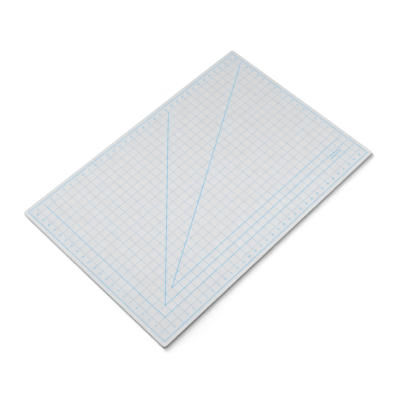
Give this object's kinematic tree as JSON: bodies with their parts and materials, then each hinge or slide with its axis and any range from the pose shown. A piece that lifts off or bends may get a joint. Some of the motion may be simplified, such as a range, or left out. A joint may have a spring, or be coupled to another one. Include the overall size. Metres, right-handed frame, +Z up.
{
  "type": "self-healing cutting mat",
  "caption": "Flat rectangular cutting mat of bonded plies with rounded corners, its top face ruled with a square grid, numbered edge scales and angle guides.",
  "frame": {"origin": "centre of the underside, where the mat rests on the bench", "axes": "+X along the long side, from the low to the high numerals of the front scale; +Y along the short side, away from the user; +Z up out of the working face"},
  "size_m": [0.9144, 0.6096, 0.003],
  "materials": {
    "healing_skin": "fine matte grain, flexible vinyl",
    "base_skin": "fine pebbled non-slip vinyl",
    "support_ply": "soft matte vinyl",
    "core_ply": "plain rigid vinyl sheet",
    "print_ink": "screen-printed matte ink"
  },
  "bodies": {
    "root": {"base_skin": "base_skin", "lower_support": "support_ply", "hard_core": "core_ply", "upper_support": "support_ply", "healing_skin": "healing_skin", "front_scale": "print_ink", "back_scale": "print_ink", "left_scale": "print_ink", "right_scale": "print_ink", "front_numerals": "print_ink", "back_numerals": "print_ink", "left_numerals": "print_ink", "right_numerals": "print_ink", "square_grid": "print_ink", "corner_guide": "print_ink", "guide_45_degree": "print_ink", "guide_30_degree": "print_ink", "scale_bar": "print_ink"}
  },
  "joints": []
}
